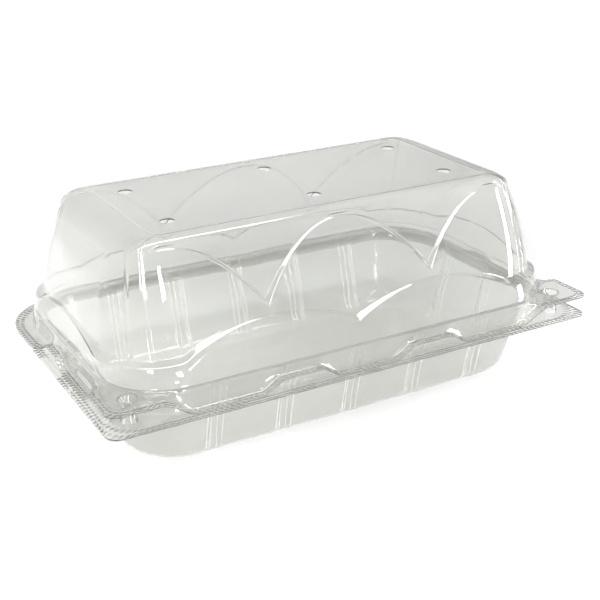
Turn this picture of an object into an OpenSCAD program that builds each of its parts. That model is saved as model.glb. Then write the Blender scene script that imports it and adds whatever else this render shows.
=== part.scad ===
// Clear thermoformed fruit pack: a ribbed tray and a scalloped dome lid, hinged along the back rim

/* [Rim] */
// Length of the tray lip, end to end
rim_len = 200; // [190:1:240]
// Depth of the tray lip, front edge to hinge
rim_wid = 125; // [118:1:150]
// Height of the tray lip above the table
lip_z = 27; // [20:0.5:40]
// Height of the lid's flange above the tray lip
flange_h = 8; // [6:0.5:10]
// Corner radius of the two front tabs
tab_r = 5; // [3:0.5:8]
// Corner radius of the two back corners, beside the hinge
back_r = 26; // [18:1:30]
// Thickness of the formed sheet
sheet = 0.5; // [0.3:0.05:0.7]
// Height of the gap between lid and tray where they rest
rest_gap = 0.4; // [0.3:0.05:0.8]
// Gap between the lid's skirt and the tray's skirt inside it
side_gap = 1; // [0.9:0.1:1.4]

/* [Tray] */
// Inset of the rim's outer skirt from the lip edge
skirt_inset = 7; // [6.6:0.1:8]
// Inward lean of that skirt, from the lip up to the land
skirt_lean = 1.1; // [0.4:0.1:1.6]
// Width of the flat land on top of the rim
land_w = 2.4; // [1.5:0.1:4]
// Height of the bend from the land down to the wall
land_bend_h = 3; // [1:0.5:5]
// Width of that bend
land_bend_w = 1.2; // [0.4:0.1:2]
// Inward slope of the walls, from the land to the floor bend
wall_draft = 7; // [3:0.5:10]
// Radius of the bend between wall and floor
floor_bend = 7; // [4:0.5:10]
// Corner radius of the rim land
tray_corner_r = 23; // [22:0.5:26]
// Width of a wall rib
rib_w = 5.6; // [3:0.2:6]
// Width of the slope on each side of a rib
rib_ramp = 1.1; // [0.4:0.1:1.4]
// Depth of a wall rib
rib_depth = 1.3; // [0.5:0.1:2]
// Distance between wall ribs
rib_pitch = 28; // [20:0.5:28]

/* [Lid dome] */
// Height of the top panel above the tray lip
dome_h = 54.8; // [48:0.2:75]
// Inset of the top panel from the lip edge
panel_inset = 30; // [26:0.5:32]
// Corner radius of the top panel
panel_r = 4; // [2:0.5:12]
// Width of the rounded shoulder along the long sides
side_shoulder_w = 4.4; // [2:0.2:8]
// Drop of the rounded shoulder along the long sides
side_shoulder_h = 2.8; // [2:0.1:7]
// Width of the rounded shoulder at the two ends
end_shoulder_w = 13.5; // [6:0.5:15]
// Drop of the rounded shoulder at the two ends
end_shoulder_h = 8.5; // [4:0.5:12]
// Corner radius of the dome just below its shoulder
shoulder_r = 14.5; // [12:0.5:20]
// Height of the dome's foot above the flange
foot_h = 1; // [0.5:0.1:2]
// Outward flare of the dome's foot
foot_flare = 0.7; // [0.3:0.1:1.2]
// Outward bow of the long walls at mid height
side_bow = 0.8; // [0:0.1:2]
// Outward bow of the end walls at mid height
end_bow = 2.5; // [0:0.1:3.5]
// Diameter of a vent hole
vent_d = 5.5; // [3:0.5:7]
// Distance of the outer vent holes from the ends of the top panel
vent_end_gap = 11.5; // [6:0.5:25]
// Distance of the vent holes from the long sides of the top panel
vent_side_gap = 12.7; // [6:0.1:20]
// Width of the upright rib in each corner of the dome, at its foot
flute_w = 6.6; // [4:0.2:7]
// Height of the corner rib above the wall
flute_h = 0.8; // [0.3:0.1:1.5]
// Place of the corner rib, as a share of the way from the long side to the end
flute_at = 0.4; // [0.32:0.02:0.42]

/* [Lid scallops] */
// Height of the upper scallops' points above the tray lip
upper_cusp = 29.5; // [28:0.5:36]
// Distance of the upper scallops' tops below the shoulder
upper_gap = 0.6; // [0.4:0.1:3]
// Height of the lower scallops' points above the tray lip
lower_cusp = 17.3; // [14:0.1:18]
// Rise of the lower scallops on the long sides
lower_rise = 7.4; // [4:0.1:8.4]
// Rise of the lower scallop on each end
end_rise = 4; // [2:0.5:6]
// Step of a scallop at its points
scallop_step = 2.6; // [1:0.1:3.5]
// Step of a scallop at its top
scallop_least = 0.9; // [0.2:0.1:1]
// Height of a scallop's ledge where its step runs out
ledge_h = 0.4; // [0.3:0.1:1]

/* [Lid rim] */
// Width of the lid's flat edge band
lid_lip = 3.3; // [1:0.1:3.6]
// Height of a raised wave above the low edge
wave_h = 4.1; // [2:0.1:4.5]
// Length of a raised wave on the front, foot to foot
wave_len = 32; // [20:1:40]
// Distance of the front waves from the middle
wave_x = 27.5; // [22:0.5:32]
// Length of the slope at each end of a wave
wave_ramp = 9; // [4:0.5:10]
// Length of the raised wave on each end, foot to foot
end_wave_len = 26; // [20:1:32]
// Distance of that wave behind the middle of the end
end_wave_y = 4; // [0:0.5:8]
// Distance behind the middle at which the lid's edge reaches out to the tray's lip
end_reach = 22; // [18:0.5:26]
// Depth of the long groove in the low panels of the skirt
groove = 0.6; // [0.2:0.1:0.6]
// Distance of a corner button from the lip edge, both ways
button_inset = 10.8; // [9:0.1:11.2]
// Diameter of a corner button
button_d = 7; // [5:0.5:7]
// Diameter of a corner button at its closed end
button_end_d = 4.5; // [3:0.1:4.8]
// Depth of a corner button in the lid
button_h = 2.4; // [1:0.1:3]

/* [Hidden] */
half_len = rim_len / 2;
half_wid = rim_wid / 2;
flange_z = lip_z + flange_h;
land_z = flange_z - sheet - rest_gap;
// Segments of a round hole or button
round_steps = 32;
// Corner radius of the lid's skirt: the tray's, let out by the sheet and the gap
foot_r = tray_corner_r + sheet + side_gap;
// Share of a dome corner's way that its upright rib takes, and the stations on a corner
flute_share = flute_w / (foot_r * PI / 2);
flute_steps = [for (edge = [-1.5, -1, -0.5, 0, 0.5, 1, 1.5]) flute_at + edge * flute_share / 2];
corner_steps = [0.08, 0.16, each flute_steps, 0.57, 0.64, 0.73, 0.82, 0.91];
back_to_front = [for (i = [len(corner_steps) - 1 : -1 : 0]) 1 - corner_steps[i]];
// Share of a front corner's way taken by the slope up to its tab
tab_ramp = 0.22;
// Drop of the inner face beside a sloping wall, in sheet thicknesses
wall_drop = 0.3;
// Fall of a ledge over its step
ledge_fall = 0.5;
// Share of a corner's way over which the upper scallops' step runs out
step_fade = 0.24;
// Angles of the rounded shoulder and of the floor bend
shoulder_angles = [0, 35, 62, 90];
bend_angles = [0, 30, 60, 90];

function smooth(u) = u <= 0 ? 0 : u >= 1 ? 1 : u * u * (3 - 2 * u);
function plateau(d, len, ramp) = smooth((len / 2 - abs(d)) / ramp);
function mix(a, b, u) = a + (b - a) * u;
function even_steps(n) = [for (k = [-n : n]) k / n];

// A station is [zone, share]: zones 0 to 7 run front, corner, right end, corner, back, corner, left end, corner
function stations(front_steps, end_steps, back_steps) = [
    for (zone = [0 : 7])
        for (u = zone % 4 == 1 ? corner_steps
            : zone % 4 == 3 ? back_to_front
            : zone == 0 ? front_steps
            : zone == 4 ? back_steps
            : end_steps)
            [zone, u]
];
// Share of a corner's way, counted from the long side
function from_long(st) = st[0] % 4 == 3 ? 1 - st[1] : st[1];

// Point of a rounded corner between [side_x, b] and [a, side_y], by its share u of the way
function corner_point(u, a, b, r, side_x, side_y) =
    let (first = a - r - side_x, arc = r * PI / 2, last = b - r - side_y)
    let (d = u * (first + arc + last))
    d < first ? [side_x + d, b]
    : d < first + arc ? [a - r, b - r] + r * [sin((d - first) / r * 180 / PI), cos((d - first) / r * 180 / PI)]
    : [a, b - r - (d - first - arc)];

// Plan position of a station on a ring: inset is [from the long lips, from the end lips]
function ring_point(st, inset, r, split) =
    let (zone = st[0], u = st[1], a = half_len - inset[1], b = half_wid - inset[0])
    let (side_x = min(a - r, half_len - split), side_y = min(b - r, half_wid - split))
    let (c = corner_point(from_long(st), a, b, r, side_x, side_y))
    zone == 0 ? [u * side_x, -b]
    : zone == 2 ? [a, u * side_y]
    : zone == 4 ? [-u * side_x, b]
    : zone == 6 ? [-a, -u * side_y]
    : [zone == 1 || zone == 3 ? c[0] : -c[0], zone == 1 || zone == 7 ? -c[1] : c[1]];

// Mean of a ring's points
function middle(ring) = [for (axis = [0 : 2]) [for (p = ring) p[axis]] * [for (p = ring) 1] / len(ring)];

// Closed skin through rings of equal length, capped at the first and last ring
module skin(rings) {
    n = len(rings[0]);
    last = len(rings) - 1;
    first_hub = n * (last + 1);
    next = [for (i = [0 : n - 1]) (i + 1) % n];
    walls = [
        for (k = [0 : last - 1]) for (i = [0 : n - 1])
            let (p = k * n, q = p + n)
            each [[p + i, q + i, p + next[i]], [p + next[i], q + i, q + next[i]]]
    ];
    first_cap = [for (i = [0 : n - 1]) [first_hub, i, next[i]]];
    last_cap = [for (i = [0 : n - 1]) [first_hub + 1, last * n + next[i], last * n + i]];
    hubs = [middle(rings[0]), middle(rings[last])];
    polyhedron(points = concat([for (ring = rings) each ring], hubs), faces = concat(walls, first_cap, last_cap));
}

// A profile row is [insets, radius, z, inset shift, z shift]: the shifts lead to the other face of the sheet
function face_rings(all, profile, split, other) =
    let (rows = [for (st = all) profile(st)])
    [for (k = [0 : len(rows[0]) - 1])
        [for (i = [0 : len(all) - 1])
            let (w = rows[i][k], s = other ? sheet : 0)
            [each ring_point(all[i], w[0] + s * [w[3], w[3]], w[1] - s * w[3], split), w[2] + s * w[4]]]];

// Sheet between the face that the profile gives and its other face
module formed_sheet(all, profile, split) {
    face = face_rings(all, profile, split, false);
    other = face_rings(all, profile, split, true);
    skin(concat(other, [for (k = [len(face) - 1 : -1 : 0]) face[k]]));
}

// Where a station stands
function on_long(st) = st[0] % 4 == 0;
function on_end(st) = st[0] % 4 == 2;
function on_corner(st) = st[0] % 2 == 1;
function at_back(st) = st[0] >= 3 && st[0] <= 5;
function lip_radius(st) = at_back(st) ? back_r : tab_r;
// 0 on the long sides, 1 on the ends, and the share of the way between them on a corner
function end_share(st) = on_long(st) ? 0 : on_end(st) ? 1 : smooth(from_long(st));
function even(inset) = [inset, inset];

// Hollow button with a closed end at height h, its foot buried inside the sheet that carries it
module button(foot_d, h) {
    foot = foot_d / 2;
    end = button_end_d / 2;
    foot_low = -0.7 * sheet;
    foot_top = -0.3 * sheet;
    rotate_extrude($fn = round_steps)
        polygon([
            [foot + sheet, foot_low], [foot + sheet, foot_top], [foot, foot_top], [end, h],
            [0, h], [0, h - sheet], [end - sheet, h - sheet], [foot - sheet, foot_low]
        ]);
}

// Hole under or over a button, or a vent, through a level sheet with its top at z
module round_hole(d, z) {
    translate([0, 0, z - 2 * sheet])
        cylinder(d = d, h = 3 * sheet, $fn = round_steps);
}

module at_buttons() {
    for (side = [-1, 1])
        translate([side * (half_len - button_inset), button_inset - half_wid, 0])
            children();
}

// Tray
land_out = skirt_inset + skirt_lean;
land_in = land_out + land_w;
wall_low = land_in + wall_draft;
floor_inset = wall_low + floor_bend;
floor_r = tray_corner_r - floor_bend;
tray_split = floor_inset + floor_r;
long_half = half_len - tray_split;
end_half = half_wid - tray_split;
rib_count = floor((long_half - rib_w / 2) / rib_pitch);
long_ribs = [for (k = [-rib_count : rib_count]) k * rib_pitch];
end_ribs = (rib_pitch + rib_w) / 2 < end_half ? [-rib_pitch / 2, rib_pitch / 2] : [];
rib_edges = [-rib_w / 2, rib_ramp - rib_w / 2, rib_w / 2 - rib_ramp, rib_w / 2];
tray_long = [-1, for (x = long_ribs) for (edge = rib_edges) (x + edge) / long_half, 1];
tray_end = [-1, for (y = end_ribs) for (edge = rib_edges) (y + edge) / end_half, 1];
// Height of the tray's buttons, up to the lid's buttons above them
post_h = flange_h - button_h - sheet - rest_gap;

// Depth of the ribs at a station
function rib_at(st) =
    let (x = st[1] * (on_long(st) ? long_half : end_half), ribs = on_long(st) ? long_ribs : end_ribs)
    on_corner(st) || len(ribs) == 0 ? 0
    : rib_depth * plateau(min([for (rib = ribs) abs(x - rib)]), rib_w, rib_ramp);

// Corner radius that falls evenly from the land to the floor
function tray_radius(inset) = mix(tray_corner_r, floor_r, (inset - land_out) / (floor_inset - land_out));

// Row of the floor bend at angle t from the floor
function bend_row(t, rib) =
    let (inset = floor_inset - floor_bend * sin(t), rise = 1 - cos(t))
    [even(inset + rib * rise), tray_radius(inset), sheet + floor_bend * rise, -sin(t), -cos(t) - wall_drop * rise];

function tray_profile(st) =
    let (rib = rib_at(st), under_land = land_in + land_bend_w)
    [
        for (t = bend_angles)
            bend_row(t, rib),
        [even(under_land + rib), tray_radius(under_land), land_z - land_bend_h, -1, -wall_drop],
        [even(land_in), tray_radius(land_in), land_z, -1, -1],
        [even(land_out), tray_corner_r, land_z, 1, -1],
        [even(skirt_inset), tray_corner_r, lip_z, 1, -1],
        [even(0), lip_radius(st), lip_z, 0, -1]
    ];

module tray() {
    foot_d = button_d - 2 * sheet;
    color("gainsboro") {
        difference() {
            formed_sheet(stations(tray_long, tray_end, tray_long), function(st) tray_profile(st), tray_split);
            at_buttons()
                round_hole(foot_d, lip_z);
        }
        at_buttons()
            translate([0, 0, lip_z])
                button(foot_d, post_h);
    }
}

// Lid: its skirt and the fold above it are the tray's rim, let out by the sheet and the gap
lid_skirt = skirt_inset - sheet - side_gap;
lid_edge = lid_skirt - lid_lip;
fold_inset = land_out - sheet - side_gap;
foot_inset = fold_inset + foot_flare;
lid_split = foot_inset + foot_r;
top_z = lip_z + dome_h;
foot_z = flange_z + foot_h;
edge_z = lip_z + rest_gap + sheet;
lid_long_half = half_len - lid_split;
lid_end_half = half_wid - lid_split;
lid_front = even_steps(16);
lid_back = even_steps(8);
lid_ends = even_steps(6);
// Distances of the vent holes from the middle
vent_x = half_len - panel_inset - vent_end_gap;
vent_y = half_wid - panel_inset - vent_side_gap;
// Insets of the shoulder's lower edge: along the long sides and at the ends
shoulder_inset = [panel_inset - side_shoulder_w, panel_inset - end_shoulder_w];

// The rounded shoulder at angle t from the panel, as a quarter of an oval
function shoulder_z(st, t) = top_z - mix(side_shoulder_h, end_shoulder_h, end_share(st)) * (1 - cos(t));
function shoulder_row(st, t) = [
    even(panel_inset) - ([side_shoulder_w, end_shoulder_w] + even(flute(st))) * sin(t),
    mix(panel_r, shoulder_r, sin(t)), shoulder_z(st, t), sin(t), -cos(t) - wall_drop * sin(t)
];

// Wall of the dome at height z: insets from the lip edge, and corner radius
function wall_share(st, z) = (z - foot_z) / (shoulder_z(st, 90) - foot_z);
function wall_inset(st, z) =
    let (u = wall_share(st, z))
    even(foot_inset) - [side_bow, end_bow] * 4 * u * (1 - u) + (shoulder_inset - even(foot_inset)) * u;
function wall_radius(st, z) = mix(foot_r, shoulder_r, wall_share(st, z));

// Scallop heights and steps: arches that meet in points on the long sides
upper_low = lip_z + upper_cusp;
lower_low = lip_z + lower_cusp;
function upper_top(st) = shoulder_z(st, 90) - upper_gap;
function upper_edge(st) =
    let (d = 2 * abs(st[1]) - 2 * round(abs(st[1])))
    on_long(st) ? mix(upper_top(st), upper_low, d * d) : upper_top(st);
function upper_step(st) =
    on_long(st) ? mix(scallop_least, scallop_step, (upper_top(st) - upper_edge(st)) / (upper_top(st) - upper_low))
    : on_corner(st) ? scallop_least * smooth(1 - from_long(st) / step_fade)
    : 0;
function lower_edge(st) =
    let (d = on_long(st) ? 2 * abs(st[1]) - 1 : st[1])
    on_corner(st) ? lower_low : lower_low + (on_long(st) ? lower_rise : end_rise) * (1 - d * d);
function lower_step(st) =
    mix(scallop_step, scallop_least, (lower_edge(st) - lower_low) / (on_long(st) ? lower_rise : end_rise));
function flute(st) =
    on_corner(st) ? flute_h * plateau(from_long(st) - flute_at, 1.5 * flute_share, 0.25 * flute_share) : 0;

// Row at the inner edge of a ledge, and the row at its outer edge below
function ledge_rows(st, z, step, rib_above, rib_below) = [
    [wall_inset(st, z) + even(step - rib_above), wall_radius(st, z), z, 1, -wall_drop],
    [wall_inset(st, z) - even(rib_below), wall_radius(st, z), z - ledge_h - step * ledge_fall, 1, -wall_drop]
];

// How far the edge has risen to a front tab, how far it reaches out to the lip edge, and how far a wave lifts it
function tab_rise(st) = st[0] == 1 || st[0] == 7 ? smooth(min(st[1], 1 - st[1]) / tab_ramp) : 0;
function end_y(st) = (st[0] == 2 ? st[1] : -st[1]) * lid_end_half;
function edge_reach(st) =
    at_back(st) ? 1 : on_end(st) ? smooth((end_y(st) - end_reach + wave_ramp) / wave_ramp) : tab_rise(st);
function wave(st) =
    st[0] == 0 ? plateau(abs(st[1] * lid_long_half) - wave_x, wave_len, wave_ramp)
    : on_end(st) ? plateau(end_y(st) - end_wave_y, end_wave_len, wave_ramp)
    : 0;

function lid_profile(st) =
    let (reach = edge_reach(st), tab = tab_rise(st), rib = flute(st))
    let (ze = mix(edge_z + wave_h * wave(st), flange_z, tab))
    let (edge = mix(lid_edge, 0, reach))
    let (skirt = mix(lid_skirt, edge + lid_lip, tab), skirt_r = mix(foot_r, tab_r, tab))
    let (edge_r = mix(foot_r, lip_radius(st), max(tab, reach)))
    let (dent = on_corner(st) ? 0 : groove * (1 - wave(st)))
    [
        for (t = shoulder_angles)
            shoulder_row(st, t),
        each ledge_rows(st, upper_edge(st), upper_step(st), rib, rib),
        each ledge_rows(st, lower_edge(st), lower_step(st), rib, 0),
        [even(foot_inset), foot_r, foot_z, 1, -wall_drop],
        [even(fold_inset), foot_r, flange_z, 1, -1],
        [even((fold_inset + skirt) / 2 + dent), (foot_r + skirt_r) / 2, (flange_z + ze) / 2, 1, -1],
        [even(skirt), skirt_r, ze, 1, -1],
        [even(edge), edge_r, ze, 0, -1]
    ];

module lid() {
    color("whitesmoke") {
        difference() {
            formed_sheet(stations(lid_front, lid_ends, lid_back), function(st) lid_profile(st), lid_split);
            for (x = [-1, 0, 1])
                for (y = [-1, 1])
                    translate([x * vent_x, y * vent_y, 0])
                        round_hole(vent_d, top_z);
            at_buttons()
                round_hole(button_d, flange_z);
        }
        at_buttons()
            translate([0, 0, flange_z - sheet])
                mirror([0, 0, 1])
                    button(button_d, button_h);
    }
}

tray();
lid();
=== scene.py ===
"""Clear thermoformed fruit pack: tray and scalloped lid as fine formed sheets, and their fold."""
import math

import bmesh
import bpy
import numpy as np
from mathutils import Matrix, Vector


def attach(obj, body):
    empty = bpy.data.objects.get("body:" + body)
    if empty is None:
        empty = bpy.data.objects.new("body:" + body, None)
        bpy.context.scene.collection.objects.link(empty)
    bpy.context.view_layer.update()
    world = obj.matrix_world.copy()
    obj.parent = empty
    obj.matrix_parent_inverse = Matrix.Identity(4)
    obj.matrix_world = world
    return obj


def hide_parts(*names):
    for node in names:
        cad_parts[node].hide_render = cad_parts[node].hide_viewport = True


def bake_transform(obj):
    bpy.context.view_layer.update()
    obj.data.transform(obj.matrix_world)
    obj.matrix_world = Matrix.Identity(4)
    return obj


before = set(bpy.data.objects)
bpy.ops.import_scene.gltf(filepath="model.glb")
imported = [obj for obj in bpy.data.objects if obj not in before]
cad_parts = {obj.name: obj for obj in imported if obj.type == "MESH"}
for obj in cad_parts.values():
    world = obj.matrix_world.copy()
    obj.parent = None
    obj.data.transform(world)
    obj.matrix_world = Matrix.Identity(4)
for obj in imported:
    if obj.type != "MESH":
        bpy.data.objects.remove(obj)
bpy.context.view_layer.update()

# Sizes in millimetres, the same as the part's own
MM = 0.001
RIM_LEN, RIM_WID = 200.0, 125.0
LIP_Z, FLANGE_H = 27.0, 8.0
TAB_R, BACK_R, TAB_RAMP = 5.0, 26.0, 0.22
SHEET, REST_GAP, SIDE_GAP = 0.5, 0.4, 1.0
SKIRT_INSET, SKIRT_LEAN, LAND_W = 7.0, 1.1, 2.4
LAND_BEND_H, LAND_BEND_W = 3.0, 1.2
WALL_DRAFT, FLOOR_BEND, TRAY_CORNER_R = 7.0, 7.0, 23.0
RIB_DEPTH, RIB_PITCH = 1.3, 28.0
DOME_H, PANEL_INSET, PANEL_R = 54.8, 30.0, 4.0
SIDE_SHOULDER_W, SIDE_SHOULDER_H = 4.4, 2.8
END_SHOULDER_W, END_SHOULDER_H = 13.5, 8.5
SHOULDER_R, FOOT_H, FOOT_FLARE = 14.5, 1.0, 0.7
SIDE_BOW, END_BOW = 0.8, 2.5
VENT_D, VENT_END_GAP, VENT_SIDE_GAP = 5.5, 11.5, 12.7
FLUTE_W, FLUTE_H, FLUTE_AT = 6.6, 0.8, 0.4
UPPER_CUSP, UPPER_GAP, LOWER_CUSP = 29.5, 0.6, 17.3
LOWER_RISE, END_RISE, LEDGE_H, LEDGE_FALL = 7.4, 4.0, 0.4, 0.5
SCALLOP_STEP, SCALLOP_LEAST, STEP_FADE = 2.6, 0.9, 0.24
LID_LIP, WAVE_H, WAVE_LEN, WAVE_X, WAVE_RAMP = 3.3, 4.1, 32.0, 27.5, 9.0
END_WAVE_LEN, END_WAVE_Y, END_REACH, GROOVE = 26.0, 4.0, 22.0, 0.6
BUTTON_INSET, BUTTON_D, BUTTON_END_D, BUTTON_H = 10.8, 7.0, 4.5, 2.4
HINGE_OUT, HINGE_UP = 0.4, 0.2

# Sizes that follow from these
HALF_LEN, HALF_WID = RIM_LEN / 2, RIM_WID / 2
FLANGE_Z = LIP_Z + FLANGE_H
LAND_Z = FLANGE_Z - SHEET - REST_GAP
FOOT_R = TRAY_CORNER_R + SHEET + SIDE_GAP
FLUTE_SHARE = FLUTE_W / (FOOT_R * math.pi / 2)
LAND_OUT = SKIRT_INSET + SKIRT_LEAN
LAND_IN = LAND_OUT + LAND_W
FLOOR_INSET = LAND_IN + WALL_DRAFT + FLOOR_BEND
FLOOR_R = TRAY_CORNER_R - FLOOR_BEND
TRAY_SPLIT = FLOOR_INSET + FLOOR_R
TRAY_LONG, TRAY_END = HALF_LEN - TRAY_SPLIT, HALF_WID - TRAY_SPLIT
LONG_RIBS = [k * RIB_PITCH for k in (-2, -1, 0, 1, 2)]
END_RIBS = [-RIB_PITCH / 2, RIB_PITCH / 2]
LID_SKIRT = SKIRT_INSET - SHEET - SIDE_GAP
LID_EDGE = LID_SKIRT - LID_LIP
FOLD_INSET = LAND_OUT - SHEET - SIDE_GAP
FOOT_INSET = FOLD_INSET + FOOT_FLARE
LID_SPLIT = FOOT_INSET + FOOT_R
TOP_Z, FOOT_Z = LIP_Z + DOME_H, FLANGE_Z + FOOT_H
EDGE_Z = LIP_Z + REST_GAP + SHEET
LID_LONG, LID_END = HALF_LEN - LID_SPLIT, HALF_WID - LID_SPLIT
VENT_X = HALF_LEN - PANEL_INSET - VENT_END_GAP
VENT_Y = HALF_WID - PANEL_INSET - VENT_SIDE_GAP
UPPER_LOW, LOWER_LOW = LIP_Z + UPPER_CUSP, LIP_Z + LOWER_CUSP
POST_H = FLANGE_H - BUTTON_H - SHEET - REST_GAP

# Ribs of the tray: wider and softer slopes than the part's, with their middle in the same place
RIB_W, RIB_RAMP, RIB_BEND = 6.2, 1.7, 0.4
# Lines on the ribs' bends, in a hazier sheet lightened in colour to paint white highlight lines
# there: half width as a share of the slope, and the rows they run along
BEND_SHARE, BEND_ROWS = 0.1, range(3, 9)
# Corner ribs of the lid: half width at the foot, slope and bend, as shares of width and of slope
FLUTE_FOOT, FLUTE_SLOPE, FLUTE_BEND = 0.75, 0.25, 0.3
# Dished top panel: depth, then rows as distance inside the panel's edge and share of the depth
PANEL_DISH = 0.3
PANEL_BORDER = ((1.6, 1.0), (1.2, 0.9), (0.8, 0.5), (0.4, 0.1))
# Rows on the dome's shoulder and on the tray's floor bend, in degrees
SHOULDER_ANGLES = (0, 6, 14, 24, 36, 48, 60, 72, 82, 90)
FLOOR_ANGLES = (0, 10, 20, 32, 45, 58, 70, 80, 90)
# Rows of the wall between the scallops and under them, as shares of the way down
WALL_SHARES, FOOT_SHARES = (0.2, 0.4, 0.6, 0.8), (0.35, 0.7)
# Rows, counted from the shoulder's first, between which the ends of the dome run straight
STRAIGHT_FROM, STRAIGHT_TO = 7, 12
# Fillets: how far each cuts back, the most it takes of a row's way to the next, and its steps
LEDGE_CUT, LEDGE_FOOT_CUT, FOOT_CUT = 0.35, 0.5, 0.6
FOLD_CUT, GROOVE_CUT, SKIRT_CUT = 0.7, 0.9, 0.8
WALL_CUT, LAND_CUT = 1.2, 0.8
CUT_SHARE, CUT_STEPS = 0.45, 4
# Pressed dots along the cut edges: pitch, radius, height, roundness and the two staggered rows
KNURL_PITCH, KNURL_R, KNURL_H, KNURL_ROUND = 2.1, 0.74, 0.32, 0.9
KNURL_ROWS = (0.8, 2.3)
# The band that carries them: width, most of a narrow lip, rings, and stations for each step
BAND_W, BAND_SHARE, BAND_RINGS, FINE = 3.2, 0.92, 11, 3

# Stations on the lid's front, ends and back, and on its corners
LID_STEPS, LID_CORNER_STEPS = (113, 45, 81), 38
# Close stations at a corner rib, as shares of its slope, and the gap kept for them
FLUTE_PLACES = (-0.3, -0.15, 0, 0.15, 0.3, 0.5, 0.7, 0.85, 1, 1.15, 1.3)
FLUTE_MIDDLE, FLUTE_CLEAR = 0.6, 0.29
# Stations between the tray's ribs on its long sides and ends, and on its corners
TRAY_LONG_STEPS, TRAY_END_STEPS, TRAY_CORNER_STEPS = 41, 15, 56
# Close stations at a tray rib, as shares of its slope, on its back, and the gap kept for them
RIB_PLACES = (-0.4, -0.24, -0.08, 0.08, 0.24, 0.4, 0.6, 0.76, 0.92, 1.08, 1.24, 1.4)
RIB_BACK, RIB_CLEAR = 0.5, 1.0

# Hollow buttons: how deep the foot sits in the sheet, its bend, and the (out, down) bend of the end
CUP_LOW, CUP_TOP, CUP_BEND = 0.7, 0.3, 0.12
CUP_END = ((0.25, 0.3), (0.1, 0.08), (-0.15, 0))
ROUND_STEPS, AXIS_R, DRILL_HALF = 48, 1e-5, 1
# Hinge film: distance to the back corners, radius, thickness, inset, steps along and round
FILM_SHORT, FILM_R, FILM_T, FILM_IN = 2.0, 0.72, 0.3, 0.12
FILM_STEPS, FILM_TURNS = 75, 13

# Material slots of the sheets, and the angle from which an edge is drawn sharp
SHEET_SLOT, EDGE_SLOT, BEND_SLOT = 0, 1, 2
SHARP = math.radians(50)
# Least lengths that are divided by, and the distance at which points are joined, in metres
TINY, TINY_NORMAL, JOIN = 1e-6, 1e-9, 1e-7


def smooth(u):
    u = np.clip(u, 0.0, 1.0)
    return u * u * (3 - 2 * u)


def plateau(d, length, ramp):
    return smooth((length / 2 - np.abs(d)) / ramp)


def mix(a, b, u):
    return a + (b - a) * u


def crisp(u, bend):
    """Straight ramp from 0 to 1 with small round bends at its ends."""
    low = np.clip((u + bend) / (2 * bend), 0, 1) ** 2 * bend
    low = np.where(u > bend, u, low)
    high = 1 - np.clip((1 - u + bend) / (2 * bend), 0, 1) ** 2 * bend
    return np.where(u > 1 - bend, np.where(u > 1 + bend, 1.0, high), low)


class Stations:
    """Places round the rim, by zone and share of the zone.

    Zones 0 to 7 run front, corner, right end, corner, back, corner, left end, corner.
    """

    def __init__(self, zone, u):
        self.zone, self.u = zone, u
        self.on_long = zone % 4 == 0
        self.on_end = zone % 4 == 2
        self.on_corner = zone % 2 == 1
        self.at_back = (zone >= 3) & (zone <= 5)
        self.from_long = np.where(zone % 4 == 3, 1 - u, u)
        turning = np.where(self.on_end, 1.0, smooth(self.from_long))
        self.end_share = np.where(self.on_long, 0.0, turning)
        self.lip_r = np.where(self.at_back, BACK_R, TAB_R)

    def finer(self, times):
        """The same walk with each step inside a zone cut into a number of equal steps."""
        high = np.where(np.roll(self.zone, -1) == self.zone, np.roll(self.u, -1), 1.0)
        u = self.u[:, None] + (high - self.u)[:, None] * np.arange(times) / times
        return Stations(np.repeat(self.zone, times), u.ravel())


def walk(front, ends, back, corner):
    """Stations with the given shares: straight zones run from -1 to 1, corners from 0 to 1."""
    mirrored = [1 - share for share in reversed(corner)]
    zones = (front, corner, ends, mirrored, back, corner, ends, mirrored)
    zone = np.repeat(np.arange(len(zones)), [len(shares) for shares in zones])
    return Stations(zone, np.concatenate(zones).astype(float))


def ring(st, inset_long, inset_end, r, split):
    """Plan places of the stations on a rounded rectangle, inset from the long and end lips."""
    a, b = HALF_LEN - inset_end, HALF_WID - inset_long
    side_x = np.minimum(a - r, HALF_LEN - split)
    side_y = np.minimum(b - r, HALF_WID - split)
    first, arc, last = a - r - side_x, r * math.pi / 2, b - r - side_y
    d = st.from_long * (first + arc + last)
    turn = np.clip((d - first) / np.maximum(r, TINY), 0, math.pi / 2)
    cx = np.where(d < first, side_x + d, a - r + r * np.sin(turn))
    cy = np.where(d < first + arc, b - r + r * np.cos(turn), b - r - (d - first - arc))
    cy = np.where(d < first, b, cy)
    zone, u = st.zone, st.u
    straight = [zone == 0, zone == 2, zone == 4, zone == 6]
    x = np.select(straight, [u * side_x, a, -u * side_x, -a],
                  np.where((zone == 1) | (zone == 3), cx, -cx))
    y = np.select(straight, [-b, u * side_y, b, -u * side_y],
                  np.where((zone == 1) | (zone == 7), -cy, cy))
    return x, y


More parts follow.
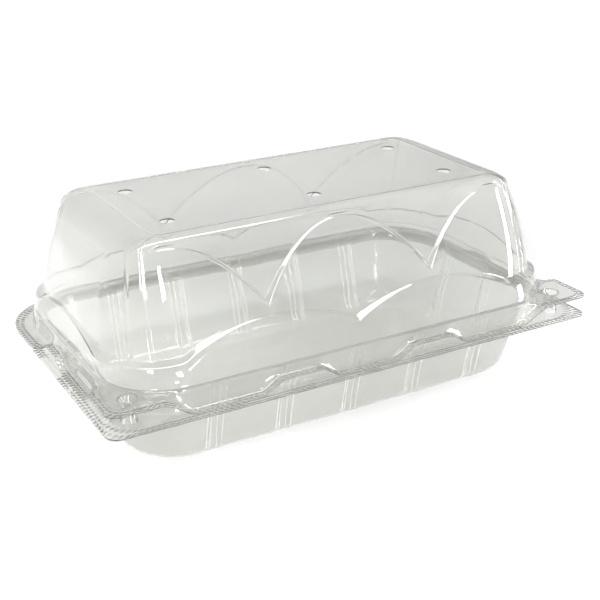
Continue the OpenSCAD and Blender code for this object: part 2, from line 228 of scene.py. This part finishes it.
class Profile:
    """Control rows of a sheet, from its middle out to its cut edge, with the fillet of each."""

    def __init__(self, st):
        self.st, self.rows, self.cuts = st, [], []

    def add(self, inset_long, inset_end, r, z, cut=0.0):
        """A row: insets, corner radius and height at every station."""
        ones = np.ones(len(self.st.zone))
        self.rows.append(np.stack([v * ones for v in (inset_long, inset_end, r, z)], axis=1))
        self.cuts.append(cut)

    def even(self, inset, r, z, cut=0.0):
        """A row with the same inset from the long and end lips."""
        self.add(inset, inset, r, z, cut)

    def rounded(self):
        """The rows, with a small fillet at each inner row whose cut is over 0."""
        rows, out = self.rows, [self.rows[0]]
        for k in range(1, len(rows) - 1):
            if self.cuts[k] <= 0:
                out.append(rows[k])
                continue
            back, ahead = rows[k - 1] - rows[k], rows[k + 1] - rows[k]
            len_back = np.sqrt(back[:, 0] ** 2 + back[:, 3] ** 2)
            len_ahead = np.sqrt(ahead[:, 0] ** 2 + ahead[:, 3] ** 2)
            cut = np.minimum(self.cuts[k], CUT_SHARE * np.minimum(len_back, len_ahead))
            start = rows[k] + back * (cut / np.maximum(len_back, TINY))[:, None]
            end = rows[k] + ahead * (cut / np.maximum(len_ahead, TINY))[:, None]
            for i in range(CUT_STEPS + 1):
                t = i / CUT_STEPS
                out.append((1 - t) ** 2 * start + 2 * t * (1 - t) * rows[k] + t * t * end)
        out.append(rows[-1])
        return out


# Lid profile

def flute(st):
    """Height of the upright corner ribs."""
    inside = FLUTE_FOOT * FLUTE_SHARE - np.abs(st.from_long - FLUTE_AT)
    slope = FLUTE_SLOPE * FLUTE_SHARE
    return np.where(st.on_corner, FLUTE_H * crisp(inside / slope, FLUTE_BEND), 0.0)


def shoulder_z(st, t):
    return TOP_Z - mix(SIDE_SHOULDER_H, END_SHOULDER_H, st.end_share) * (1 - math.cos(t))


def wall(st, z):
    """Insets and corner radius of the dome's wall at height z."""
    u = (z - FOOT_Z) / (shoulder_z(st, math.pi / 2) - FOOT_Z)
    bow = 4 * u * (1 - u)
    long_rise = PANEL_INSET - SIDE_SHOULDER_W - FOOT_INSET
    end_rise = PANEL_INSET - END_SHOULDER_W - FOOT_INSET
    long_inset = FOOT_INSET - SIDE_BOW * bow + long_rise * u
    end_inset = FOOT_INSET - END_BOW * bow + end_rise * u
    return long_inset, end_inset, mix(FOOT_R, SHOULDER_R, u)


def wall_row(st, z, shift):
    long_inset, end_inset, r = wall(st, z)
    return long_inset + shift, end_inset + shift, r, z


def scallops(st):
    """Heights and steps of the upper and lower scallops."""
    top = shoulder_z(st, math.pi / 2) - UPPER_GAP
    d = 2 * np.abs(st.u) - 2 * np.round(np.abs(st.u))
    upper = np.where(st.on_long, mix(top, UPPER_LOW, d * d), top)
    fade = np.where(st.on_corner, SCALLOP_LEAST * smooth(1 - st.from_long / STEP_FADE), 0.0)
    grown = mix(SCALLOP_LEAST, SCALLOP_STEP, (top - upper) / (top - UPPER_LOW))
    upper_step = np.where(st.on_long, grown, fade)
    rise = np.where(st.on_long, LOWER_RISE, END_RISE)
    d = np.where(st.on_long, 2 * np.abs(st.u) - 1, st.u)
    lower = np.where(st.on_corner, LOWER_LOW, LOWER_LOW + rise * (1 - d * d))
    lower_step = mix(SCALLOP_STEP, SCALLOP_LEAST, (lower - LOWER_LOW) / rise)
    return upper, upper_step, lower, lower_step


def lid_edge(st):
    """How the rim runs: wave, height and inset of the edge, inset of the skirt, both radii."""
    front_corner = (st.zone == 1) | (st.zone == 7)
    tab = np.where(front_corner, smooth(np.minimum(st.u, 1 - st.u) / TAB_RAMP), 0.0)
    end_y = np.where(st.zone == 2, st.u, -st.u) * LID_END
    end_reach = smooth((end_y - END_REACH + WAVE_RAMP) / WAVE_RAMP)
    reach = np.where(st.at_back, 1.0, np.where(st.on_end, end_reach, tab))
    front_wave = plateau(np.abs(st.u * LID_LONG) - WAVE_X, WAVE_LEN, WAVE_RAMP)
    end_wave = plateau(end_y - END_WAVE_Y, END_WAVE_LEN, WAVE_RAMP)
    wave = np.where(st.zone == 0, front_wave, np.where(st.on_end, end_wave, 0.0))
    z = mix(EDGE_Z + WAVE_H * wave, FLANGE_Z, tab)
    edge = mix(LID_EDGE, 0.0, reach)
    skirt = mix(LID_SKIRT, edge + LID_LIP, tab)
    skirt_r = mix(FOOT_R, TAB_R, tab)
    edge_r = mix(FOOT_R, st.lip_r, np.maximum(tab, reach))
    return wave, z, edge, skirt, skirt_r, edge_r


def lid_rows(st):
    upper, upper_step, lower, lower_step = scallops(st)
    rib = flute(st)
    wave, edge_z, edge, skirt, skirt_r, edge_r = lid_edge(st)
    dent = np.where(st.on_corner, 0.0, GROOVE * (1 - wave))
    profile = Profile(st)
    for inside, share in PANEL_BORDER:
        profile.even(PANEL_INSET + inside, PANEL_R, TOP_Z - share * PANEL_DISH)
    first = len(profile.rows)
    for t in np.radians(SHOULDER_ANGLES):
        profile.add(PANEL_INSET - (SIDE_SHOULDER_W + rib) * math.sin(t),
                    PANEL_INSET - (END_SHOULDER_W + rib) * math.sin(t),
                    mix(PANEL_R, SHOULDER_R, math.sin(t)), shoulder_z(st, t))
    profile.add(*wall_row(st, upper, upper_step - rib), LEDGE_CUT)
    low = upper - LEDGE_H - upper_step * LEDGE_FALL
    long_inset, end_inset, r = wall(st, upper)
    profile.add(long_inset - rib, end_inset - rib, r, low, LEDGE_FOOT_CUT)
    for share in WALL_SHARES:
        profile.add(*wall_row(st, mix(low, lower, share), lower_step * share - rib))
    # At the ends the shoulder runs into the wall without a crease
    rows, start, end = profile.rows, first + STRAIGHT_FROM, first + STRAIGHT_TO
    for k in range(start + 1, end):
        chord = mix(rows[start], rows[end], (k - start) / (end - start))
        rows[k] = mix(rows[k], chord, st.end_share[:, None])
    profile.add(*wall_row(st, lower, lower_step - rib), LEDGE_CUT)
    foot_low = lower - LEDGE_H - lower_step * LEDGE_FALL
    profile.add(*wall(st, lower), foot_low, LEDGE_FOOT_CUT)
    for share in FOOT_SHARES:
        profile.add(*wall_row(st, mix(foot_low, FOOT_Z, share), 0.0))
    profile.even(FOOT_INSET, FOOT_R, FOOT_Z, FOOT_CUT)
    profile.even(FOLD_INSET, FOOT_R, FLANGE_Z, FOLD_CUT)
    middle = (FOLD_INSET + skirt) / 2 + dent
    profile.even(middle, (FOOT_R + skirt_r) / 2, (FLANGE_Z + edge_z) / 2, GROOVE_CUT)
    profile.even(skirt, skirt_r, edge_z, SKIRT_CUT)
    profile.even(edge, edge_r, edge_z)
    return profile.rounded()


# Tray profile

def tray_radius(inset):
    return mix(TRAY_CORNER_R, FLOOR_R, (inset - LAND_OUT) / (FLOOR_INSET - LAND_OUT))


def tray_rows(st):
    x = st.u * np.where(st.on_long, TRAY_LONG, TRAY_END)
    rib = np.zeros(len(x))
    for side, ribs in ((st.on_long, LONG_RIBS), (st.on_end, END_RIBS)):
        near = np.min([np.abs(x - place) for place in ribs], axis=0)
        rib = np.where(side, RIB_DEPTH * crisp((RIB_W / 2 - near) / RIB_RAMP, RIB_BEND), rib)
    profile = Profile(st)
    for t in np.radians(FLOOR_ANGLES):
        inset = FLOOR_INSET - FLOOR_BEND * math.sin(t)
        rise = 1 - math.cos(t)
        profile.even(inset + rib * rise, tray_radius(inset), SHEET + FLOOR_BEND * rise)
    under = LAND_IN + LAND_BEND_W
    profile.even(under + rib, tray_radius(under), LAND_Z - LAND_BEND_H, WALL_CUT)
    profile.even(LAND_IN, tray_radius(LAND_IN), LAND_Z, LAND_CUT)
    profile.even(LAND_OUT, TRAY_CORNER_R, LAND_Z, LAND_CUT)
    profile.even(SKIRT_INSET, TRAY_CORNER_R, LIP_Z, SKIRT_CUT)
    profile.even(0.0, st.lip_r, LIP_Z)
    return profile.rounded()


def rib_bends(st):
    """For each step between stations: whether it lies on a bend at a rib's edge."""
    after = np.roll(st.u, -1)
    inside = np.roll(st.zone, -1) == st.zone
    middle = np.where(inside, (st.u + after) / 2, (st.u + 1) / 2)
    x = middle * np.where(st.on_long, TRAY_LONG, TRAY_END)
    on_bend = np.zeros(len(x), bool)
    for side, ribs in ((st.on_long, LONG_RIBS), (st.on_end, END_RIBS)):
        for place in ribs:
            share = (RIB_W / 2 - np.abs(x - place)) / RIB_RAMP
            on_bend |= side & ((np.abs(share) < BEND_SHARE) | (np.abs(share - 1) < BEND_SHARE))
    return on_bend


# Meshes

def ring_points(st, r, split):
    x, y = ring(st, r[:, 0], r[:, 1], r[:, 2], split)
    return np.stack([x, y, r[:, 3]], axis=1)


def knurl(points, across):
    """Height of the pressed dots on a fine ring: across is the distance in from the cut edge."""
    step = np.linalg.norm(np.roll(points, -1, axis=0) - points, axis=1)
    run = np.concatenate([[0.0], np.cumsum(step)[:-1]])
    pitch = step.sum() / round(step.sum() / KNURL_PITCH)
    height = np.zeros(len(points))
    for k, place in enumerate(KNURL_ROWS):
        along = (run + k * pitch / 2) % pitch - pitch / 2
        near = 1 - (along ** 2 + (across - place) ** 2) / KNURL_R ** 2
        height = np.maximum(height, KNURL_H * np.clip(near, 0, 1) ** KNURL_ROUND)
    return height


def strip(p, q, n):
    """Faces between two rings of n points that start at p and at q."""
    return [(p + i, q + i, q + (i + 1) % n, p + (i + 1) % n) for i in range(n)]


def skin(st, rows_of, split, marked=None):
    """Upper face of a sheet: rings at the stations, a finer knurled band and a flat cap inside."""
    n, m = len(st.zone), len(st.zone) * FINE
    fine = st.finer(FINE)
    skirt, edge = rows_of(fine)[-2:]
    width = np.abs(skirt[:, 0] - edge[:, 0])
    band = np.minimum(BAND_W, BAND_SHARE * width)

    def band_ring(share):
        return ring_points(fine, mix(edge, skirt, (band * share / width)[:, None]), split)

    points = [ring_points(st, r, split) for r in rows_of(st)[:-1]]
    middle = band_ring(0.5)
    bands = []
    for share in np.linspace(1, 0, BAND_RINGS):
        bands.append(band_ring(share))
        bands[-1][:, 2] += knurl(middle, band * share)
    base, last = len(points) * n, (len(points) - 1) * n
    faces, slots = [], []
    for k in range(len(points) - 1):
        faces += strip(k * n, k * n + n, n)
        on_rib = marked is not None and k in BEND_ROWS
        slots += [BEND_SLOT if on_rib and marked[i] else SHEET_SLOT for i in range(n)]
    for i in range(n):
        fan = [base + (i * FINE + k) % m for k in range(FINE + 1)]
        faces += [(last + i, fan[k], fan[k + 1]) for k in range(FINE)]
        faces.append((last + i, fan[-1], last + (i + 1) % n))
    for k in range(BAND_RINGS - 1):
        faces += strip(base + k * m, base + k * m + m, m)
    hub = base + BAND_RINGS * m
    verts = np.concatenate(points + bands + [[points[0].mean(axis=0)]])
    faces += [(hub, i, (i + 1) % n) for i in range(n)]
    slots += [SHEET_SLOT] * (len(faces) - len(slots))
    return verts, faces, list(range(hub - m, hub)), slots


def vertex_normals(verts, faces):
    normal = np.zeros_like(verts)
    quads = np.array([f for f in faces if len(f) == 4])
    tris = np.array([f for f in faces if len(f) == 3])
    for block, (a, b, c, d) in ((quads, (0, 2, 1, 3)), (tris, (0, 1, 0, 2))):
        face = np.cross(verts[block[:, b]] - verts[block[:, a]],
                        verts[block[:, d]] - verts[block[:, c]])
        for corner in range(block.shape[1]):
            np.add.at(normal, block[:, corner], face)
    return normal / np.maximum(np.linalg.norm(normal, axis=1), TINY_NORMAL)[:, None]


def closed_sheet(verts, faces, rim, slots):
    """The upper face, the lower face one sheet away from it, and the cut edge between them."""
    normal = vertex_normals(verts, faces)
    if normal[-1][2] < 0:
        faces = [tuple(reversed(f)) for f in faces]
        normal = -normal
    n = len(verts)
    both = faces + [tuple(n + i for i in reversed(f)) for f in faces]
    for a, b in zip(rim, rim[1:] + rim[:1]):
        both.append((a, n + a, n + b, b))
    points = np.concatenate([verts, verts - SHEET * normal])
    return points, both, slots + slots + [EDGE_SLOT] * len(rim)


def finish_mesh(obj):
    mesh = obj.data
    mesh.polygons.foreach_set("use_smooth", [True] * len(mesh.polygons))
    mesh.set_sharp_from_angle(angle=SHARP)


def mesh_object(name, verts, faces, slots=None):
    """An object from points in millimetres; its empty slots keep the slot numbers through cuts."""
    mesh = bpy.data.meshes.new(name)
    mesh.from_pydata((np.asarray(verts) * MM).tolist(), [], faces)
    for _ in range(max(slots or [SHEET_SLOT]) + 1):
        mesh.materials.append(None)
    if slots:
        mesh.polygons.foreach_set("material_index", slots)
    mesh.update()
    obj = bpy.data.objects.new(name, mesh)
    bpy.context.scene.collection.objects.link(obj)
    finish_mesh(obj)
    return obj


def turned(name, outline, place, up=1):
    """Closed solid of revolution: outline points (radius, height) from the axis round to it."""
    x, y, z = place
    verts, faces = [], []
    n = len(outline)
    for i in range(ROUND_STEPS):
        a = 2 * math.pi * i / ROUND_STEPS
        verts += [(x + r * math.cos(a), y + r * math.sin(a), z + up * h) for r, h in outline]
    for i in range(ROUND_STEPS):
        p, q = i * n, (i + 1) % ROUND_STEPS * n
        faces += [(p + k, q + k, q + k + 1, p + k + 1) for k in range(n - 1)]
    obj = mesh_object(name, verts, faces)
    bm = bmesh.new()
    bm.from_mesh(obj.data)
    bmesh.ops.remove_doubles(bm, verts=bm.verts, dist=JOIN)
    bmesh.ops.recalc_face_normals(bm, faces=bm.faces)
    bm.to_mesh(obj.data)
    bm.free()
    return obj


def combine(obj, other, operation):
    """Cut another object out of a mesh or join it on, and remove that object."""
    modifier = obj.modifiers.new("cut", "BOOLEAN")
    modifier.operation = operation
    modifier.solver = "MANIFOLD"
    modifier.object = other
    evaluated = obj.evaluated_get(bpy.context.evaluated_depsgraph_get())
    shaped = bpy.data.meshes.new_from_object(evaluated)
    obj.modifiers.clear()
    old, work = obj.data, other.data
    obj.data = shaped
    bpy.data.meshes.remove(old)
    bpy.data.objects.remove(other)
    bpy.data.meshes.remove(work)


def drill(r):
    """Outline of a cut through one sheet."""
    return [(AXIS_R, -DRILL_HALF), (r, -DRILL_HALF), (r, DRILL_HALF), (AXIS_R, DRILL_HALF)]


def cup(foot, height):
    """Outline of a hollow button with rounded bends, its foot sunk in the sheet."""
    end = BUTTON_END_D / 2
    low, top = -CUP_LOW * SHEET, -CUP_TOP * SHEET
    return [(foot + SHEET, low), (foot + SHEET, top), (foot + CUP_BEND, top), (foot, CUP_BEND),
            *((end + out, height - down) for out, down in CUP_END), (AXIS_R, height),
            (AXIS_R, height - SHEET), (end - SHEET, height - SHEET), (foot - SHEET, low),
            (foot + SHEET, low)]


def ribbed(ribs, half, spare):
    """Shares along a ribbed side: close at the ribs' edges and wide between them."""
    side = [RIB_W / 2 - RIB_RAMP * u for u in RIB_PLACES]
    steps = [-e for e in side] + [-RIB_BACK, RIB_BACK] + side
    close = [(x + e) / half for x in ribs for e in steps]
    wide = [v for v in np.linspace(-1, 1, spare)
            if min(abs(v * half - x) for x in ribs) > RIB_W / 2 + RIB_CLEAR]
    return sorted(set(round(float(v), 6) for v in [-1, 1] + close + wide if abs(v) <= 1))


def fold_film():
    """Points and faces of the fold that joins the two lips along the back: a bent strip."""
    half_len = HALF_LEN - BACK_R - FILM_SHORT
    turns = np.radians(np.linspace(-90, 90, FILM_TURNS))
    verts, faces = [], []
    for x in np.linspace(-half_len, half_len, FILM_STEPS):
        for radius in (FILM_R, FILM_R - FILM_T):
            verts += [(x, HALF_WID - FILM_IN + radius * math.cos(a),
                       LIP_Z + HINGE_UP + radius * math.sin(a)) for a in turns]
    per, half = 2 * FILM_TURNS, FILM_TURNS
    for i in range(FILM_STEPS - 1):
        p, q = i * per, (i + 1) * per
        for k in range(half - 1):
            faces.append((p + k, q + k, q + k + 1, p + k + 1))
            faces.append((p + half + k, p + half + k + 1, q + half + k + 1, q + half + k))
        faces.append((p, p + half, q + half, q))
        faces.append((p + half - 1, q + half - 1, q + per - 1, p + per - 1))
    for p in (0, (FILM_STEPS - 1) * per):
        for k in range(half - 1):
            face = (p + k, p + k + 1, p + half + k + 1, p + half + k)
            faces.append(face if p == 0 else tuple(reversed(face)))
    return verts, faces


# Pieces

flute_edges = [s * FLUTE_SHARE * (FLUTE_FOOT - FLUTE_SLOPE * u)
               for s in (-1, 1) for u in FLUTE_PLACES]
lid_corner = [v for v in np.linspace(0, 1, LID_CORNER_STEPS)[1:-1]
              if abs(abs(v - FLUTE_AT) - FLUTE_MIDDLE * FLUTE_SHARE) > FLUTE_CLEAR * FLUTE_SHARE]
lid_corner = sorted(lid_corner + [FLUTE_AT + e for e in flute_edges])
lid_stations = walk(*(np.linspace(-1, 1, steps) for steps in LID_STEPS), lid_corner)
tray_front = ribbed(LONG_RIBS, TRAY_LONG, TRAY_LONG_STEPS)
tray_ends = ribbed(END_RIBS, TRAY_END, TRAY_END_STEPS)
tray_corner = list(np.linspace(0, 1, TRAY_CORNER_STEPS)[1:-1])
tray_stations = walk(tray_front, tray_ends, tray_front, tray_corner)

lid_skin = skin(lid_stations, lid_rows, LID_SPLIT)
lid = mesh_object("lid_sheet_fine", *closed_sheet(*lid_skin))
tray_skin = skin(tray_stations, tray_rows, TRAY_SPLIT, rib_bends(tray_stations))
tray = mesh_object("tray_sheet_fine", *closed_sheet(*tray_skin))

for x in (-VENT_X, 0, VENT_X):
    for y in (-VENT_Y, VENT_Y):
        vent = turned("vent_cut", drill(VENT_D / 2), (x, y, TOP_Z - SHEET / 2))
        combine(lid, vent, "DIFFERENCE")
for x in (BUTTON_INSET - HALF_LEN, HALF_LEN - BUTTON_INSET):
    y = BUTTON_INSET - HALF_WID
    r = BUTTON_D / 2
    combine(lid, turned("button_cut", drill(r), (x, y, FLANGE_Z - SHEET / 2)), "DIFFERENCE")
    combine(lid, turned("button_cup", cup(r, BUTTON_H), (x, y, FLANGE_Z - SHEET), -1), "UNION")
    r -= SHEET
    combine(tray, turned("post_cut", drill(r), (x, y, LIP_Z - SHEET / 2)), "DIFFERENCE")
    combine(tray, turned("post_cup", cup(r, POST_H), (x, y, LIP_Z)), "UNION")
for piece in (lid, tray):
    finish_mesh(piece)
film = mesh_object("hinge_film", *fold_film())


# Materials

IOR = 1.5
# Broad smears and fine grain of the sheet: noise scale and detail
SMEAR, GRAIN = (38.0, 3.0), (160.0, 2.0)
GRAIN_RANGE = (0.3, 0.75)
RIPPLE, RIPPLE_DEPTH = 0.25, 0.0004
SEED_SHARES = (1, 0.7, 1.3)
SHADOW_TINT = (0.76, 0.76, 0.755, 1)
CLEAR, HAZE = 0.97, (0.02, 0.07)
# Name, light and dark tint, seed, then clearness and roughness where they differ
LOOKS = (
    ("clear_lid", (0.85, 0.855, 0.836), (0.82, 0.825, 0.804), 0.31),
    ("clear_tray", (0.83, 0.835, 0.816), (0.8, 0.805, 0.784), 0.87),
    ("cut_edge", (0.66, 0.665, 0.64), (0.58, 0.585, 0.56), 0.11),
    ("clear_fold", (0.86, 0.865, 0.85), (0.83, 0.835, 0.815), 0.53),
    # Rib bends: hazier and rougher, and lighter in colour to paint white highlight lines along the
    # ribs' edges
    ("rib_bend", (0.97, 0.97, 0.96), (0.94, 0.94, 0.93), 0.71, 0.68, (0.16, 0.26)),
)


def link(tree, a, b):
    tree.links.new(a, b)


def new_node(tree, kind, inputs=None, **settings):
    """A shader node with its settings and the constant values of its inputs."""
    made = tree.nodes.new("ShaderNode" + kind)
    for name, value in settings.items():
        setattr(made, name, value)
    for name, value in (inputs or {}).items():
        made.inputs[name].default_value = value
    return made


def new_material(name):
    """A material with an empty node tree, and that tree."""
    material = bpy.data.materials.new(name)
    material.use_nodes = True
    material.node_tree.nodes.clear()
    return material, material.node_tree


def noise(tree, place, kind):
    scale, detail = kind
    made = new_node(tree, "TexNoise", {"Scale": scale, "Detail": detail})
    link(tree, place, made.inputs["Vector"])
    return made.outputs["Fac"]


def ranged(tree, value, reach, levels):
    """A value brought from one range to another."""
    made = new_node(tree, "MapRange", {"From Min": reach[0], "From Max": reach[1],
                                       "To Min": levels[0], "To Max": levels[1]})
    link(tree, value, made.inputs["Value"])
    return made.outputs["Result"]


def figured(tree, operation, a, b):
    made = new_node(tree, "Math", operation=operation)
    link(tree, a, made.inputs[0])
    link(tree, b, made.inputs[1])
    return made.outputs["Value"]


def chosen(tree, share, first, second):
    """The first shader where the share is 0, the second where it is 1."""
    made = new_node(tree, "MixShader")
    link(tree, share, made.inputs["Fac"])
    link(tree, first, made.inputs[1])
    link(tree, second, made.inputs[2])
    return made.outputs["Shader"]


def clear_plastic(name, light, dark, seed, clear=CLEAR, haze=HAZE):
    """Clear formed sheet: tinted refraction that lets lamp light through, smears and ripples."""
    material, tree = new_material(name)
    out = new_node(tree, "OutputMaterial")
    body = new_node(tree, "BsdfPrincipled", {"Transmission Weight": clear, "IOR": IOR})
    shift = new_node(tree, "Mapping", {"Location": [seed * share for share in SEED_SHARES]})
    link(tree, new_node(tree, "TexCoord").outputs["Object"], shift.inputs["Vector"])
    smear = noise(tree, shift.outputs["Vector"], SMEAR)
    grain = noise(tree, shift.outputs["Vector"], GRAIN)
    # Inputs 6 and 7 and output 2 are the colour sockets of this node
    tint = new_node(tree, "Mix", {6: (*light, 1), 7: (*dark, 1)}, data_type="RGBA")
    link(tree, smear, tint.inputs[0])
    link(tree, tint.outputs[2], body.inputs["Base Color"])
    link(tree, ranged(tree, grain, GRAIN_RANGE, haze), body.inputs["Roughness"])
    bump = new_node(tree, "Bump", {"Strength": RIPPLE, "Distance": RIPPLE_DEPTH})
    link(tree, smear, bump.inputs["Height"])
    link(tree, bump.outputs["Normal"], body.inputs["Normal"])
    through = new_node(tree, "BsdfTransparent", {"Color": SHADOW_TINT})
    shadow = new_node(tree, "LightPath").outputs["Is Shadow Ray"]
    surface = chosen(tree, shadow, body.outputs["BSDF"], through.outputs["BSDF"])
    link(tree, surface, out.inputs["Surface"])
    return material


lid_look, tray_look, edge_look, film_look, bend_haze_and_highlight_look = (clear_plastic(*look) for look in LOOKS)
for piece, looks in ((lid, [lid_look, edge_look]),
                     (tray, [tray_look, edge_look, bend_haze_and_highlight_look]),
                     (film, [film_look])):
    for k, look in enumerate(looks):
        piece.data.materials[k] = look

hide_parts("lid")
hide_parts("tray")
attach(lid, "lid_body")
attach(tray, "tray_body")
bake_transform(film)


# Stage: a pale floor that keeps the shadow, with painted shadow behind and under the pack and
# painted light behind it on the left, soft studio light

DISC_R, DISC_Z, DISC_SIDES = 2.6, -0.0002, 96
FLOOR_GREY = (0.6, 0.6, 0.6, 1)
WHITE = (1, 1, 1, 1)
# Levels on the floor: centre, turn, radii, reach in radii, level at the near and far reach
FLOOR_BASE = ((-0.15, -0.55), 0, (1, 1), (0, 1.6), (0.2, 0.7))
# Painted shadow: the glow is lowered in an oval behind the pack, where rays seen through it land
FLOOR_PAINTED_SHADOW_BEHIND = ((0.09, 0.11), 0, (0.122, 0.11), (0.6, 1.2), (-0.22, 0))
# Painted shadow: the glow is lowered in an oval under the pack
FLOOR_PAINTED_SHADOW_UNDER = ((0, 0), 0, (0.1, 0.0625), (0.6, 1.1), (-0.13, 0))
# Painted light: the glow is raised in a long turned oval behind the pack on the left
FLOOR_PAINTED_LIGHT_LEFT = ((-0.25, 0.38), 115, (0.42, 0.16), (0.1, 1.25), (0.55, 0))
# Sky levels by the height of the direction, and its level as a source of light
SKY = ((0.0, 1.0), (0.14, 0.82), (0.42, 0.6), (0.66, 0.28))
SKY_LIGHT = (0.25, 0.25, 0.25, 1)
# The side of the room to the right and behind is darker: direction, reach and levels
DARK_SIDE, DARK_REACH, DARK_LEVELS = (0.9, 0.43, 0.1), (0.8, 0.98), (1.0, 0.25)
# Softboxes: name, place, aim, size and power
AIM = (0, 0, 0.05)
SOFTBOXES = (
    ("window", (0.24, -1.45, 0.62), AIM, (0.24, 0.28), 4),
    ("front_low", (0.0, -1.5, 0.14), AIM, (0.16, 0.24), 3),
    ("left", (-0.85, -1.15, 0.75), AIM, (0.25, 0.3), 3.5),
    ("low_right", (1.25, -0.9, 0.3), AIM, (0.25, 0.6), 17),
    ("top", (-0.15, -0.55, 1.6), (-0.15, -0.55, 0.05), (1.9, 0.5), 26),
)
# Camera at the photo's angle: place, direction, roll and focal length in the photo's pixels
EYE = Vector((-0.20127, -0.36951, 0.20820))
FORWARD = Vector((0.44894, 0.80581, -0.38617)).normalized()
ROLL = -0.013
SENSOR, FOCAL_PX, PHOTO_PX = 36.0, 1143.787, 600
CLIP_START = 0.01
BOUNCES, GLOSSY_BOUNCES = 32, 8


def seen_rays(tree):
    """1 for rays that look at the background: from the camera, or reflected or refracted."""
    path = new_node(tree, "LightPath").outputs
    first = figured(tree, "MAXIMUM", path["Is Camera Ray"], path["Is Glossy Ray"])
    return figured(tree, "MAXIMUM", first, path["Is Transmission Ray"])


def floor_level(tree, place, centre, turn, radii, reach, levels):
    """Level on the floor by the distance from a centre, measured in radii of a turned oval."""
    oval = new_node(tree, "Mapping", vector_type="TEXTURE")
    oval.inputs["Location"].default_value = (*centre, 0)
    oval.inputs["Rotation"].default_value = (0, 0, math.radians(turn))
    oval.inputs["Scale"].default_value = (*radii, 1)
    link(tree, place, oval.inputs["Vector"])
    away = new_node(tree, "VectorMath", operation="LENGTH")
    link(tree, oval.outputs["Vector"], away.inputs[0])
    return ranged(tree, away.outputs["Value"], reach, levels)


def floor_material():
    """Matt floor with a glow that only seen rays meet, lowered behind and under the pack as painted
    shadow and raised behind it on the left as painted light.
    """
    material, tree = new_material("pale_floor")
    out = new_node(tree, "OutputMaterial")
    matt = new_node(tree, "BsdfDiffuse", {"Color": FLOOR_GREY})
    glow = new_node(tree, "Emission", {"Color": WHITE})
    place = new_node(tree, "TexCoord").outputs["Object"]
    # behind and under are painted shadow on the floor, left is painted light
    base, behind, under, left = (floor_level(tree, place, *zone) for zone in (
        FLOOR_BASE, FLOOR_PAINTED_SHADOW_BEHIND, FLOOR_PAINTED_SHADOW_UNDER, FLOOR_PAINTED_LIGHT_LEFT))
    level = figured(tree, "ADD", figured(tree, "ADD", base, behind),
                    figured(tree, "ADD", under, left))
    link(tree, figured(tree, "MULTIPLY", seen_rays(tree), level), glow.inputs["Strength"])
    both = new_node(tree, "AddShader")
    link(tree, matt.outputs["BSDF"], both.inputs[0])
    link(tree, glow.outputs["Emission"], both.inputs[1])
    link(tree, both.outputs["Shader"], out.inputs["Surface"])
    return material


def studio_world():
    """A sky that is white to the camera, shaded in reflections and dim as a source of light."""
    world = bpy.data.worlds.new("studio")
    world.use_nodes = True
    tree = world.node_tree
    tree.nodes.clear()
    out = new_node(tree, "OutputWorld")
    direction = new_node(tree, "TexCoord").outputs["Generated"]
    parts = new_node(tree, "SeparateXYZ")
    link(tree, direction, parts.inputs["Vector"])
    ramp = new_node(tree, "ValToRGB")
    stops = ramp.color_ramp.elements
    stops[1].position = SKY[-1][0]
    for height, _ in SKY[1:-1]:
        stops.new(height)
    for stop, (_, level) in zip(stops, SKY):
        stop.color = (level, level, level, 1)
    link(tree, parts.outputs["Z"], ramp.inputs["Fac"])
    seen = new_node(tree, "Background")
    link(tree, ramp.outputs["Color"], seen.inputs["Color"])
    side = new_node(tree, "VectorMath", {1: DARK_SIDE}, operation="DOT_PRODUCT")
    link(tree, direction, side.inputs[0])
    shade = ranged(tree, side.outputs["Value"], DARK_REACH, DARK_LEVELS)
    link(tree, shade, seen.inputs["Strength"])
    light = new_node(tree, "Background", {"Color": SKY_LIGHT})
    white = new_node(tree, "Background", {"Color": WHITE})
    sky = chosen(tree, seen_rays(tree), light.outputs["Background"], seen.outputs["Background"])
    camera_ray = new_node(tree, "LightPath").outputs["Is Camera Ray"]
    shown = chosen(tree, camera_ray, sky, white.outputs["Background"])
    link(tree, shown, out.inputs["Surface"])
    return world


def softbox(name, place, aim, size, power):
    data = bpy.data.lights.new(name, "AREA")
    data.shape = "RECTANGLE"
    data.size, data.size_y = size
    data.energy = power
    lamp = bpy.data.objects.new(name, data)
    lamp.location = place
    lamp.rotation_euler = (Vector(aim) - Vector(place)).to_track_quat("-Z", "Y").to_euler()
    bpy.context.scene.collection.objects.link(lamp)


floor_verts = [(0, 0, DISC_Z)]
floor_verts += [(DISC_R * math.cos(a), DISC_R * math.sin(a), DISC_Z)
                for a in np.linspace(0, 2 * math.pi, DISC_SIDES + 1)[:-1]]
floor_faces = [(0, 1 + i, 1 + (i + 1) % DISC_SIDES) for i in range(DISC_SIDES)]
floor_mesh = bpy.data.meshes.new("floor")
floor_mesh.from_pydata(floor_verts, [], floor_faces)
floor = bpy.data.objects.new("floor", floor_mesh)
bpy.context.scene.collection.objects.link(floor)
floor_mesh.materials.append(floor_material())
bpy.context.scene.world = studio_world()
for box in SOFTBOXES:
    softbox(*box)

right = FORWARD.cross(Vector((0, 0, 1))).normalized()
up = right.cross(FORWARD)
right_rolled = math.cos(ROLL) * right + math.sin(ROLL) * up
up_rolled = -math.sin(ROLL) * right + math.cos(ROLL) * up
camera_data = bpy.data.cameras.new("camera")
camera_data.sensor_width = SENSOR
camera_data.lens = SENSOR * FOCAL_PX / PHOTO_PX
camera_data.clip_start = CLIP_START
camera = bpy.data.objects.new("camera", camera_data)
bpy.context.scene.collection.objects.link(camera)
axes = Matrix((right_rolled, up_rolled, -FORWARD)).transposed()
camera.matrix_world = Matrix.Translation(EYE) @ axes.to_4x4()
bpy.context.scene.camera = camera

bpy.context.scene.view_settings.view_transform = "Standard"
cycles = bpy.context.scene.cycles
cycles.max_bounces = BOUNCES
cycles.transmission_bounces = BOUNCES
cycles.glossy_bounces = GLOSSY_BOUNCES
cycles.transparent_max_bounces = BOUNCES
